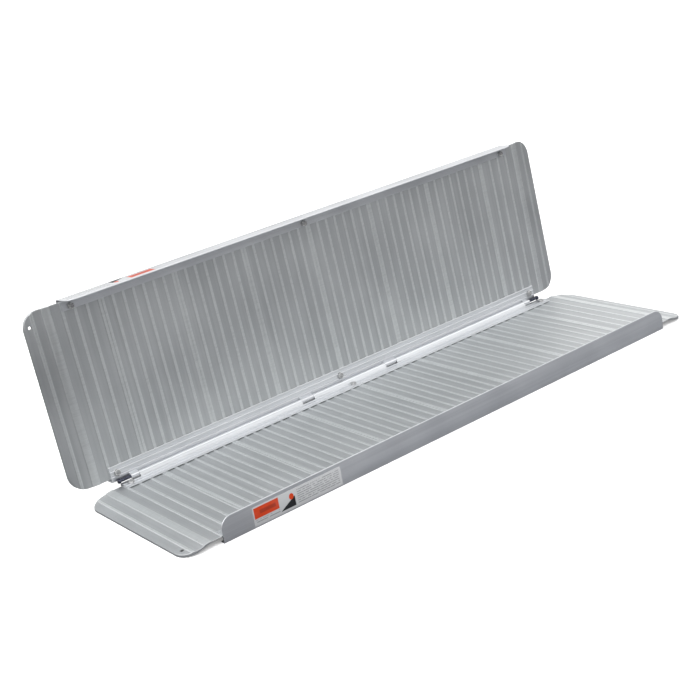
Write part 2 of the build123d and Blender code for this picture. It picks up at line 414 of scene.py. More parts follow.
def endHeights(s):
    # top: floor plus ribs, bevelled at the seam; underside: level, then down to the ground
    half = plank["ribBase"] / 2
    top = endFloor(s) + ribLift(s, *endPlate["bendRib"]) + ribLift(s, -plank["edgeRib"], plank["edgeRib"])
    for centre in endPlate["ribs"] + (endPlate["lipRib"],):
        top = top + ribLift(s, centre - half, centre + half)
    top = top - np.clip(plank["seamBevel"] - s, 0, None)
    knots = [0, endPlate["underBend"], endPlate["lipRest"], lipReach]
    under = softened(s, knots, [skinUnder, skinUnder, -ramp["groundDrop"], -ramp["groundDrop"]])
    return top, np.maximum(under, -ramp["groundDrop"])


def plateShell(side):
    # loops across the plate, one for each s:
    # the sides draw in round the lip's corners, and the rim is rounded
    radius, rim = endPlate["corner"], endPlate["rim"]
    turn = np.linspace(0, np.pi / 2, endPlate["cornerSteps"])
    edge = rim * (1 - np.cos(turn[::endPlate["rimEvery"]]))
    level, corner = np.arange(0, lipReach, endPlate["step"]), radius * (1 - np.cos(turn))
    s = np.unique(np.round(np.concatenate([level, lipReach - corner, lipReach - edge]), 3))
    past = np.clip(s - (lipReach - radius), 0, radius)
    drawIn = radius - np.sqrt(radius**2 - past**2)
    width = plankFar - ramp["plankNear"]
    inner = np.linspace(2 * rim, width - 2 * rim, endPlate["across"])
    share = np.concatenate([edge, inner, width - edge[::-1]]) / width
    near = ramp["plankNear"] + drawIn[:, None]
    v = near + share[None, :] * (width - 2 * drawIn[:, None])
    outX = s[:, None] - (lipReach - radius)
    outV = np.abs(v - (ramp["plankNear"] + width / 2)) - (width / 2 - radius)
    corner = np.hypot(np.maximum(outX, 0), np.maximum(outV, 0)) + np.minimum(np.maximum(outX, outV), 0)
    depth = np.clip(radius - corner, 0, rim)
    drop = rim - np.sqrt(rim**2 - (rim - depth) ** 2)
    top, under = endHeights(s)
    x = np.broadcast_to(side * (railLength / 2 - ramp["plankPitch"] / 2 + s)[:, None], v.shape)
    upper = np.stack([x, v, top[:, None] - drop], axis=-1)
    lower = np.stack([x, v, under[:, None] + drop], axis=-1)
    return tube(np.concatenate([upper, lower[:, ::-1]], axis=1))


def seamWebOutline(side):
    # thick web under the plate's seam: a tongue on the left plate, a groove on the right one
    thick, low, r = plank["edgeWeb"], plank["support"], plank["round"]
    top = deckFloor - endPlate["seamSunk"]
    play = 0 if side < 0 else plank["play"]
    toward = -1 if side < 0 else 1
    corners = [(0, top, r), (thick, top, r), (thick, low, r), (0, low, r)]
    return rounded(corners + tongueCorners(0, toward, play, True))


def plateWebOutline(s):
    # a web with its foot, run a little way up into the skin
    edge, top, r = plank["web"] / 2, skinUnder + endPlate["webSunk"], endPlate["webRound"]
    return rounded(webCorners(s)[1:-1] + [(s - edge, top, r), (s + edge, top, r)])


def markCrests(piece, half):
    # attribute that is 1 on the ribs' crests and 0 on the floor between them
    x, n = flattened(piece.data, half).T[[0, 2]]
    s = np.abs(x) - (railLength - ramp["plankPitch"]) / 2
    share = np.clip((n - endFloor(np.maximum(s, 0))) / plank["ribHeight"], 0, 1)
    layer = piece.data.attributes.new("crest", "FLOAT", "POINT")
    layer.data.foreach_set("value", share.astype(np.float32))


def makeEndPlates(half):
    seam = railLength / 2 - ramp["plankPitch"] / 2
    near, far = ramp["plankNear"] + endPlate["webInset"], plankFar - endPlate["webInset"]
    for side, word in ((-1, "left"), (1, "right")):
        flip = np.array([side, 1])
        outlines = [seamWebOutline(side)] + [plateWebOutline(s) for s in endPlate["webs"]]
        webs = [crossways((outline + np.array([seam, 0])) * flip, near, far) for outline in outlines]
        piece = makePiece(f"{half}EndPlate{word.title()}", [plateShell(side)], half)
        holes = boltHoles(drilling["deck"], *sorted((side * seam, side * (seam + lipReach))))
        if side < 0:
            x = -(railLength / 2 + endPlate["anchorBeyondRail"])
            v = halfWidth - endPlate["anchorFromFace"]
            holes.append((x, v, [(endPlate["anchorRadius"], n) for n in drilling["deck"]]))
        drill(piece, holes, half)
        addShells(piece, webs, half)
        markCrests(piece, half)
        dress(piece, half, "deck", f"{half}_end_plate_{word}")


def addShells(piece, shells, half):
    # more closed shells joined into a piece that is already cut
    extra = makePiece(piece.name + "Extra", shells, half)
    work = bmesh.new()
    work.from_mesh(piece.data)
    work.from_mesh(extra.data)
    work.to_mesh(piece.data)
    work.free()
    bpy.data.objects.remove(extra)
    finishMesh(piece.data)


curb = {
    "height": 30.0,
    "flangeWidth": 20.5,
    "flange": 2.0,
    "lowerFlange": 10.0,
    "corner": 22.0,
    "crown": 1.0,
    "root": 2.0,
    "bendFrom": 6.0,  # the wall above this height follows the rounded end
    "endSteps": 22,
    "stations": (60.0, 200.0),  # loops past the rounded end, from the rail's end
}


def curbOutline():
    # (depth from the outer face, n, radius) corners:
    # tall wall, deck flange inside it, lower flange at the ground
    wall, t, low = ramp["curbWall"], curb["flange"], -ramp["groundDrop"]
    corners = [(0, low, 0.8), (0, curb["height"], curb["crown"]), (wall, curb["height"], curb["crown"]),
               (wall, t, curb["root"]), (curb["flangeWidth"], t, 0.6), (curb["flangeWidth"], 0, 0.3),
               (wall, 0, 0.5), (wall, low + t, 0.8), (curb["lowerFlange"], low + t, 0.4),
               (curb["lowerFlange"], low, 0.4)]
    outline = rounded(corners, 6)
    return np.stack([halfWidth - outline[:, 0], outline[:, 1]], axis=1)


def makeCurbRail(half):
    # the outline along x; near each end the wall's height follows a quarter circle
    outline = curbOutline()
    radius, height, base = curb["corner"], curb["height"], curb["bendFrom"]
    turn = np.linspace(0, np.pi / 2, curb["endSteps"])
    fromEnd = np.concatenate([radius * (1 - np.cos(turn)), curb["stations"]])
    reach = railLength / 2
    x = np.concatenate([-reach + fromEnd, reach - fromEnd[::-1]])
    past = np.clip(radius - (reach - np.abs(x)), 0, radius)
    top = height - radius + np.sqrt(radius**2 - past**2)
    squeeze = (top - base) / (height - base)
    n = np.broadcast_to(outline[:, 1], (len(x), len(outline)))
    n = np.where(n > base, base + (n - base) * squeeze[:, None], n)
    v = np.broadcast_to(outline[:, 0], n.shape)
    stations = np.stack([np.broadcast_to(x[:, None], n.shape), v, n], axis=-1)
    piece = makePiece(f"{half}CurbRail", [tube(stations)], half)
    holes = [hole for hole in boltHoles(drilling["rail"], -reach, reach) if hole[1] > halfWidth / 2]
    drill(piece, holes, half)
    dress(piece, half, "rail", f"{half}_curb_rail")


hingeRail = {
    "gap": 0.15,
    "wall": 3.0,
    "flangeWidth": 28.8,
    "flange": 2.0,
    "lowerFlange": 10.15,
    "grooves": (10.2, 20.4),
    "grooveWidth": 1.4,
    "grooveDepth": 0.5,
    "grooveSlope": 0.3,
    "bead": 0.25,
    "beadFoot": 2.4,  # from the groove's edge
    "beadCrest": 1.0,
    "lip": 1.6,
    "bevel": 0.35,
    "barrel": 4.2,
    "bore": 3.05,
    "around": 96,
    "knuckleSunk": 0.3,  # knuckles reach this far into the flange
    "knuckleBevel": 0.3,
    "gussetTop": (4.1, 0.9),  # from the hinge axis
    "gussetFoot": 6.6,
    "barrelHalf": 504.0,
    "knuckleGap": 0.5,
    "endLug": 16.0,
    "middleLug": 28.0,
    "middleLugX": 106.0,
}


def hingeOutline():
    # (v, n, radius) corners: wall at the axis, flange with a groove between two beads at each place,
    # raised lip, and the lower flange at the ground
    h = hingeRail
    t, low, half = h["flange"], -ramp["groundDrop"], h["grooveWidth"] / 2
    corners = [(h["gap"], low, 0.4), (h["gap"], t, 0.4)]
    for v in h["grooves"]:
        side = [(v - half - h["beadFoot"], t, 1.0), (v - half - h["beadCrest"], t + h["bead"], 0.6),
                (v - half, t, 0.2), (v - half + h["grooveSlope"], t - h["grooveDepth"], 0.2)]
        corners += side + [(2 * v - a, n, r) for a, n, r in side[::-1]]
    wide, inner = h["flangeWidth"], h["gap"] + h["wall"]
    corners += [(wide - h["lip"], t + h["bead"], 0.8), (wide, t, 0.5), (wide, 0, 0.3)]
    corners += [(inner, 0, 0.5), (inner, low + t, 0.8),
                (h["lowerFlange"], low + t, 0.4), (h["lowerFlange"], low, 0.4)]
    return rounded(corners, 4)


def knuckle(start, end):
    # polar outline round the pin: the barrel, grown out to the flange
    # and to the gusset's slope where they lie beyond it
    h, away, level = hingeRail, 99, 0.05  # a line that is never met, and the least sine that isn't level
    angle = np.linspace(0, 2 * np.pi, h["around"], endpoint=False)
    sine, cosine = np.sin(angle), np.cos(angle)
    drop = ramp["axisHeight"] - h["flange"] + h["knuckleSunk"]
    toFlange = np.where(sine < -level, drop / np.maximum(-sine, level), away)
    top, foot = np.array(h["gussetTop"]), np.array([h["gussetFoot"], -drop])
    run = foot - top
    facing = cosine * run[1] - sine * run[0]
    toSlope = np.where(np.abs(facing) > 1e-6, (top[0] * run[1] - top[1] * run[0]) / facing, away)
    toSlope = np.where(toSlope > 0, toSlope, away)
    grown = (cosine > 0.08) & (sine < 0.2)  # the rail's side of the pin, below its top
    reach = np.where(grown, np.maximum(h["barrel"], np.minimum(toFlange, toSlope)), h["barrel"])
    ease = h["knuckleBevel"]
    path = [(start, -ease, 0), (start + ease, 0, 0), (end - ease, 0, 0),
            (end, -ease, 0), (end, 0, 1), (start, 0, 1)]  # outside there, and back through the bore
    loops = []
    for x, grow, inside in path:
        r = np.full(len(angle), h["bore"]) if inside else reach + grow
        loops.append(np.stack([np.full(len(angle), x), r * cosine, ramp["axisHeight"] + r * sine], axis=-1))
    return ring(np.stack(loops))


def lugStretches():
    # start and end of the upper rail's knuckles: one at each end and two about the middle
    h = hingeRail
    end, lug, half = h["barrelHalf"], h["endLug"], h["middleLug"] / 2
    middles = [(x - half, x + half) for x in (-h["middleLugX"], h["middleLugX"])]
    return [(-end, lug - end)] + middles + [(end - lug, end)]


def makeHingeRail(half):
    # the upper rail has the lugs, and the lower rail fills what is left between them
    lugs, gap = lugStretches(), hingeRail["knuckleGap"]
    between = [(left[1] + gap, right[0] - gap) for left, right in zip(lugs, lugs[1:])]
    shift = halves[half]["centre"] / millimetre
    stretches = between if half == "lower" else lugs
    reach = railLength / 2
    bar = lengthways(hingeOutline(), -reach, reach, hingeRail["bevel"])
    piece = makePiece(f"{half}HingeRail", [bar], half)
    holes = [hole for hole in boltHoles(drilling["rail"], -reach, reach) if hole[1] < halfWidth / 2]
    drill(piece, holes, half)
    addShells(piece, [knuckle(start - shift, end - shift) for start, end in stretches], half)
    dress(piece, half, "rail", f"{half}_hinge_rail")


hardware = {
    "flats": 11.1,
    "headHeight": 3.9,
    "chamfer": 0.9,
    "chamferSlope": 1.5,
    "cornerOver": 0.15,  # chamfers start this far outside the corners
    "dish": 0.25,
    "axis": 0.3,  # radius of the smallest ring, at the axis
    "shank": 3.1,
    "shankRows": 70,
    "plainRows": 14,
    "threadDepth": 0.35,
    "threadPitch": 1.27,
    "washer": 6.6,
    "washerThickness": 1.2,
    "washerBevel": 0.2,
    "nutHeight": 5.6,
    "nutChamfer": 0.8,
    "nutSlope": 1.3,
    "nutFace": 0.9,  # corner to the flat face
    "collarFrom": 0.7,  # share of the height where the collar begins
    "collarIn": 0.7,
    "tail": 0.9,
    "around": 72,
}


def hexReach(angle):
    # distance to the flats of a hexagon
    return hardware["flats"] / 2 / np.cos((angle + np.pi / 6) % (np.pi / 3) - np.pi / 6)


def turned(profile, x, v, hexFrom=None, hexTo=None):
    # rings about an upright axis at x, v from (radius, n) pairs;
    # between hexFrom and hexTo a radius stops at the flats
    angle = np.linspace(0, 2 * np.pi, hardware["around"], endpoint=False)
    radius, n = np.array(profile, float).T
    r = np.broadcast_to(radius[:, None], (len(radius), len(angle)))
    if hexFrom is not None:
        inside = ((n >= hexFrom) & (n <= hexTo))[:, None]
        r = np.where(inside, np.minimum(r, hexReach(angle)[None, :]), r)
    points = [x + r * np.cos(angle), v + r * np.sin(angle), np.broadcast_to(n[:, None], r.shape)]
    return np.stack(points, axis=-1)


def boltShell(x, v):
    # from the shank's tip up the thread, out under the head, up the flats, over the chamfer
    # and into the dished top; the thread is a zigzag in radius that climbs one pitch in each turn
    h, seat = hardware, curb["flange"]
    top = seat + h["headHeight"]
    tip = skinUnder - h["washerThickness"] - h["nutHeight"] - h["tail"]
    corner = h["flats"] / 2 / np.cos(np.pi / 6)
    rise = np.linspace(0, h["chamfer"], 6)
    head = [(corner, seat), (corner, top - h["chamfer"])]
    head += [(corner + h["cornerOver"] - d * h["chamferSlope"], top - h["chamfer"] + d) for d in rise]
    crown = head[-1][0]
    dish = [(crown * f, top - h["dish"] * (1 - f * f)) for f in (0.8, 0.6, 0.4, 0.2)]
    shank = np.linspace(tip + 0.5, seat, h["shankRows"])
    point = [(0.4, tip), (h["shank"] - 0.5, tip)]
    profile = point + [(h["shank"], n) for n in shank] + head + dish + [(h["axis"], top - h["dish"])]
    points = turned(profile, x, v, seat - 1e-6, top + 1)
    angle = np.linspace(0, 2 * np.pi, h["around"], endpoint=False)
    threaded = len(shank) - h["plainRows"]
    rows = slice(len(point), len(point) + threaded)
    turns = shank[:threaded, None] / h["threadPitch"] + angle[None, :] / (2 * np.pi)
    cut = h["threadDepth"] * np.abs(2 * (turns % 1) - 1) / h["shank"]
    centre = np.array([x, v])
    points[rows, :, :2] = centre + (points[rows, :, :2] - centre) * (1 - cut[..., None])
    return tube(points)


def washerShell(x, v):
    # flat ring round the shank, its outer edges bevelled
    h, top = hardware, skinUnder
    low, ease = top - h["washerThickness"], h["washerBevel"]
    profile = [(h["shank"], low), (h["washer"] - ease, low), (h["washer"], low + ease),
               (h["washer"], top - ease), (h["washer"] - ease, top), (h["shank"], top)]
    return ring(turned(profile, x, v))


def nutShell(x, v):
    # hexagon with chamfered corners, then a round collar over the locking ring
    h, top = hardware, skinUnder - hardware["washerThickness"]
    corner, collar = h["flats"] / 2 / np.cos(np.pi / 6), h["flats"] / 2 - h["collarIn"]
    low, shoulder = top - h["nutHeight"], top - h["nutHeight"] * h["collarFrom"]
    chamfer, slope, face = h["nutChamfer"], h["nutSlope"], corner - h["nutFace"]
    rise = np.linspace(0, chamfer, 5)
    profile = [(h["shank"], top), (face, top)]
    profile += [(face + d * slope, top - d) for d in rise[1:]]
    profile += [(corner + h["cornerOver"] - d * slope, shoulder + chamfer - d) for d in rise]
    profile += [(collar, shoulder), (collar, low + 0.8), (collar - 0.3, low + 0.3),
                (collar - 0.9, low), (h["shank"], low)]
    return ring(turned(profile, x, v, shoulder - 1e-6, top + 1))


def makeFasteners(half):
    for kind in ("hinge", "curb"):
        places = boltPlaces(kind)
        for word, shell, node in (("Bolts", boltShell, "bolts"), ("Washers", washerShell, "washers"),
                                  ("LockNuts", nutShell, "lock_nuts")):
            shells = [shell(x, v) for x, v in places]
            piece = makePiece(f"{half}{kind.title()}{word}", shells, half, sharp=24)
            dress(piece, half, "steel", f"{half}_{kind}_{node}")


pin = {
    "radius": 3.0,
    "half": 526.0,
    "seat": 3.4,  # how far the pin runs into each cap
    "bevel": 0.5,
    "axis": 0.3,  # radius of the smallest ring
    "capRadius": 4.4,
    "capLength": 5.0,
    "capBevel": 0.3,
    "dome": 1.6,
    "around": 40,
}


def lathe(profile):
    # rings about the hinge axis from (x from the middle of the hinge, radius) pairs
    angle = np.linspace(0, 2 * np.pi, pin["around"], endpoint=False)
    x, r = np.array(profile, float).T
    x = x - halves["lower"]["centre"] / millimetre
    points = [np.broadcast_to(x[:, None], (len(x), len(angle))), r[:, None] * np.cos(angle),
              ramp["axisHeight"] + r[:, None] * np.sin(angle)]
    return np.stack(points, axis=-1)


def makePin():
    # a turned rod with bevelled ends, and on each end a cup whose closed side is rounded at its rim
    start, r, bevel, axis = pin["half"], pin["radius"], pin["bevel"], pin["axis"]
    end = start + pin["seat"]
    profile = [(-end, axis), (-end, r - bevel), (bevel - end, r),
               (end - bevel, r), (end, r - bevel), (end, axis)]
    piece = makePiece("hingePin", [tube(lathe(profile))], "lower")
    # near-black steel: painted shade for the pin where it shows in the hinge slots
    dress(piece, "lower", "shadeDarkSteel", "hinge_pin")
    caps = []
    for side in (-1, 1):
        far, big, dome, edge = start + pin["capLength"], pin["capRadius"], pin["dome"], pin["capBevel"]
        turn = np.linspace(0, np.pi / 2, 7)
        rim = [(far - dome + dome * np.sin(a), big - dome + dome * np.cos(a)) for a in turn]
        cup = [(end, axis), (end, r), (start, r), (start, big - edge), (start + edge, big)]
        caps.append(tube(lathe([(side * a, b) for a, b in cup + rim + [(far, axis)]])))
    piece = makePiece("pinCaps", caps, "lower")
    dress(piece, "lower", "shadeDarkSteel", "pin_caps")


sticker = {
    "length": 182.0,
    "low": -11.3,
    "high": 22.9,
    "thickness": 0.16,
    "corner": 2.0,
    "lift": 0.01,  # off the curb's face
    "bevel": 0.12,
    "lowerStart": 61.0,  # from the rail's left end
    "upperStart": 4.0,
}


def makeSticker(half):
    # thin sheet with rounded corners on the curb's outer face; its UV runs from 0 to 1 along and up
    s = sticker
    start = -railLength / 2 + s[half + "Start"]
    end = start + s["length"]
    corners = [(start, s["low"]), (end, s["low"]), (end, s["high"]), (start, s["high"])]
    outline = rounded([(a, n, s["corner"]) for a, n in corners], 8)
    layers = [(s["lift"], 0), (s["thickness"] * 0.7, 0), (s["thickness"], s["bevel"])]
    loops = [np.insert(inset(outline, amount), 1, halfWidth + out, axis=1) for out, amount in layers]
    piece = makePiece(f"{half}Sticker", [tube(np.stack(loops))], half)
    mesh = piece.data
    layer = mesh.uv_layers.new(name="printMap")
    x, n = flattened(mesh, half).T[[0, 2]]
    along = (x - start) / s["length"]
    if half == "upper":
        along = 1 - along
    upward = (n - s["low"]) / (s["high"] - s["low"])
    corner = np.empty(len(mesh.loops), dtype=np.int64)
    mesh.loops.foreach_get("vertex_index", corner)
    layer.data.foreach_set("uv", np.stack([along, upward], axis=1)[corner].ravel())
    dress(piece, half, "sticker", f"{half}_sticker")


# base colours, the darker and the paler end of each finish
finishes = {
    "deckDark": (0.435, 0.45, 0.46),
    "deckLight": (0.515, 0.53, 0.54),
    # paler colour for the ribs' crests: a painted highlight
    "crest": (0.64, 0.66, 0.665),
    "railDark": (0.60, 0.615, 0.635),
    "railLight": (0.71, 0.725, 0.745),
    "railWorn": (0.84, 0.85, 0.86),
    "steelDark": (0.30, 0.30, 0.31),
    "steelLight": (0.62, 0.62, 0.61),
    # near-black for the hinge pin and its caps: painted shade, as dark as the hinge slots' shadow
    "pinShadeDark": (0.035, 0.038, 0.055),
    "pinShadeLight": (0.085, 0.09, 0.12),
}


def addNode(tree, kind, **settings):
    # a setting whose name is a socket's goes on that socket, and any other on the node itself
    node = tree.nodes.new(kind)
    for key, value in settings.items():
        if key in node.inputs:
            node.inputs[key].default_value = value
        else:
            setattr(node, key, value)
    return node


def flatPlace(tree, half):
    # Object coordinates turned back to the half lying flat, with the hinge axis at zero
    facts = halves[half]
    turn = Matrix.Rotation(-facts["turn"], 3, "X")
    moved = turn @ Vector((facts["centre"], axisY, axisZ))
    coordinates = addNode(tree, "ShaderNodeTexCoord")
    mapping = addNode(tree, "ShaderNodeMapping")
    mapping.inputs["Location"].default_value = -moved
    mapping.inputs["Rotation"].default_value = (-facts["turn"], 0, 0)
    tree.links.new(coordinates.outputs["Object"], mapping.inputs["Vector"])
    return mapping.outputs["Vector"]


def stretchedNoise(tree, place, scale, detail=3.0, roughness=0.5):
    # noise whose cells are drawn out by giving each direction its own count per metre
    mapping = addNode(tree, "ShaderNodeMapping", Scale=scale)
    noise = addNode(tree, "ShaderNodeTexNoise", Scale=1.0, Detail=detail, Roughness=roughness)
    tree.links.new(place, mapping.inputs["Vector"])
    tree.links.new(mapping.outputs["Vector"], noise.inputs["Vector"])
    return noise.outputs["Fac"]


def ranged(tree, value, fromLow, fromHigh, toLow=0.0, toHigh=1.0, kind="SMOOTHSTEP"):
    node = addNode(tree, "ShaderNodeMapRange", interpolation_type=kind)
    limits = {"From Min": fromLow, "From Max": fromHigh, "To Min": toLow, "To Max": toHigh}
    for key, number in limits.items():
        node.inputs[key].default_value = number
    tree.links.new(value, node.inputs["Value"])
    return node.outputs["Result"]


def maths(tree, operation, first, second=None):
    node = addNode(tree, "ShaderNodeMath", operation=operation)
    for index, value in enumerate((first, second)):
        if value is None:
            continue
        if isinstance(value, (int, float)):
            node.inputs[index].default_value = value
        else:
            tree.links.new(value, node.inputs[index])
    return node.outputs[0]


def mixed(tree, share, first, second):
    node = addNode(tree, "ShaderNodeMix", data_type="RGBA")
    for socket, value in ((node.inputs[0], share), (node.inputs[6], first), (node.inputs[7], second)):
        if isinstance(value, (int, float)):
            socket.default_value = value
        elif isinstance(value, tuple):
            socket.default_value = (*value, 1.0)
        else:
            tree.links.new(value, socket)
    return node.outputs[2]


def bumped(tree, shader, layers):
    # several heights, each with its own distance in metres, one on another
    normal = None
    for height, strength, distance in layers:
        bump = addNode(tree, "ShaderNodeBump", Strength=strength, Distance=distance)
        tree.links.new(height, bump.inputs["Height"])
        if normal is not None:
            tree.links.new(normal, bump.inputs["Normal"])
        normal = bump.outputs["Normal"]
    tree.links.new(normal, shader.inputs["Normal"])


def startMaterial(name):
    material = bpy.data.materials.new(name)
    material.use_nodes = True
    tree = material.node_tree
    return material, tree, tree.nodes["Principled BSDF"]


# cells per metre along x, v and n, and the range of each roughness
deckGrain = {
    "fine": (1400, 5, 1400),
    "broad": (130, 1.5, 130),
    "cloud": (7, 7, 7),
    "scuff": (24, 320, 60),
    "roughness": (0.42, 0.5),
    "cloudRoughness": (-0.02, 0.03),
    "crestPolish": 0.03,
    "crestHighlight": (0.55, 0.95),
}
railGrain = {
    "fine": (5, 1600, 1600),
    "broad": (2, 160, 160),
    "cloud": (9, 9, 9),
    "mark": (260, 30, 60),
    "roughness": (0.33, 0.45),
    "cloudRoughness": (-0.03, 0.04),
    "worn": 0.35,
}
steelGrain = {
    "cloud": (320, 320, 320),
    "fine": (1800, 1800, 2600),
    "roughness": (0.22, 0.4),
}


def deckMetal(half):
    # mill finish aluminium with die lines across the ramp, and rib crests painted paler as a highlight,
    # broken up by scuff noise
    material, tree, shader = startMaterial(f"{half}DeckAluminium")
    place = flatPlace(tree, half)
    g = deckGrain
    fine = stretchedNoise(tree, place, g["fine"], 4.0, 0.6)
    broad = stretchedNoise(tree, place, g["broad"], 2.0)
    cloud = stretchedNoise(tree, place, g["cloud"], 4.0, 0.55)
    scuff = stretchedNoise(tree, place, g["scuff"], 3.0, 0.7)
    mark = addNode(tree, "ShaderNodeAttribute", attribute_name="crest")
    crest = ranged(tree, mark.outputs["Fac"], 0.05, 0.95)
    tone = maths(tree, "ADD", maths(tree, "MULTIPLY", broad, 0.5), maths(tree, "MULTIPLY", cloud, 0.5))
    tone = ranged(tree, tone, 0.3, 0.7)
    colour = mixed(tree, tone, finishes["deckDark"], finishes["deckLight"])
    # painted highlight: the crests' colour mixed toward the paler crest colour, patchy with the scuff noise
    crestHighlight = maths(tree, "MULTIPLY", crest, ranged(tree, scuff, 0.25, 0.6, *g["crestHighlight"]))
    colour = mixed(tree, crestHighlight, colour, finishes["crest"])
    tree.links.new(colour, shader.inputs["Base Color"])
    rough = maths(tree, "ADD", ranged(tree, fine, 0.3, 0.7, *g["roughness"]),
                  ranged(tree, cloud, 0.35, 0.65, *g["cloudRoughness"]))
    rough = maths(tree, "SUBTRACT", rough, maths(tree, "MULTIPLY", crest, g["crestPolish"]))
    tree.links.new(rough, shader.inputs["Roughness"])
    shader.inputs["Metallic"].default_value = 1.0
    bumped(tree, shader, [(fine, 0.16, 0.0001), (scuff, 0.1, 0.00008), (cloud, 0.1, 0.0006)])  # metres
    return material


def railMetal(half):
    # satin anodised rails with lengthwise grain and a few handling marks
    material, tree, shader = startMaterial(f"{half}RailAluminium")
    place = flatPlace(tree, half)
    g = railGrain
    fine = stretchedNoise(tree, place, g["fine"], 4.0, 0.6)
    broad = stretchedNoise(tree, place, g["broad"], 2.0)
    cloud = stretchedNoise(tree, place, g["cloud"], 4.0, 0.55)
    mark = stretchedNoise(tree, place, g["mark"], 3.0, 0.7)
    tone = maths(tree, "ADD", maths(tree, "MULTIPLY", broad, 0.55), maths(tree, "MULTIPLY", cloud, 0.45))
    colour = mixed(tree, ranged(tree, tone, 0.3, 0.7), finishes["railDark"], finishes["railLight"])
    worn = ranged(tree, mark, 0.66, 0.78)
    colour = mixed(tree, maths(tree, "MULTIPLY", worn, g["worn"]), colour, finishes["railWorn"])
    tree.links.new(colour, shader.inputs["Base Color"])
    rough = maths(tree, "ADD", ranged(tree, fine, 0.3, 0.7, *g["roughness"]),
                  ranged(tree, cloud, 0.35, 0.65, *g["cloudRoughness"]))
    tree.links.new(rough, shader.inputs["Roughness"])
    shader.inputs["Metallic"].default_value = 1.0
    bumped(tree, shader, [(fine, 0.2, 0.0001), (mark, 0.08, 0.0001), (cloud, 0.12, 0.0006)])
    return material


def plainSteel(half, name, dark, light):
    # zinc plate for the fasteners, and for the hinge pin a near-black steel that paints the shade in the
    # hinge slots; a little cloudy, with a machined grain
    material, tree, shader = startMaterial(half + name)
    place = flatPlace(tree, half)
    cloud = stretchedNoise(tree, place, steelGrain["cloud"], 4.0, 0.6)
    grain = stretchedNoise(tree, place, steelGrain["fine"], 3.0, 0.6)
    colour = mixed(tree, ranged(tree, cloud, 0.3, 0.7), dark, light)
    tree.links.new(colour, shader.inputs["Base Color"])
    tree.links.new(ranged(tree, grain, 0.3, 0.7, *steelGrain["roughness"]), shader.inputs["Roughness"])
    shader.inputs["Metallic"].default_value = 1.0
    bumped(tree, shader, [(grain, 0.15, 0.00008), (cloud, 0.2, 0.0001)])
    return material


printed = {
    "paper": (0.52, 0.53, 0.54),
    "orange": (0.58, 0.045, 0.004),
    "shade": (0.16, 0.012, 0.004),
    "ink": (0.008, 0.009, 0.011),
    "grey": (0.17, 0.175, 0.185),
    "orangeArea": (0.012, 0.283, 0.36, 0.93),  # left, right, bottom, top as shares of the sticker
    "stripArea": (0.012, 0.283, 0.11, 0.30),
    "pictureArea": (0.292, 0.462, 0.12, 0.88),
    "textArea": (0.49, 0.975, 0.1, 0.94),
    "rows": 9.0,
    "words": 46,  # cells of the noise that breaks the rows
    "wedgeHeight": 0.72,  # share of the picture's top
    "barArea": (0.075, 0.25, 0.55, 0.74),
    "barShade": 0.55,
    "spot": (0.425, 0.66, 0.026, 0.16),  # centre along and up, half width and half height
}


def areaMask(tree, along, upward, area, soft=0.004):
    # 1 inside a rectangle of the print, 0 outside
    left, right, low, high = area
    rise = soft * 5  # the print is about five times as long as it is high
    parts = [ranged(tree, along, left - soft, left + soft), ranged(tree, along, right + soft, right - soft),
             ranged(tree, upward, low - rise, low + rise), ranged(tree, upward, high + rise, high - rise)]
    mask = parts[0]
    for part in parts[1:]:
        mask = maths(tree, "MULTIPLY", mask, part)
    return mask


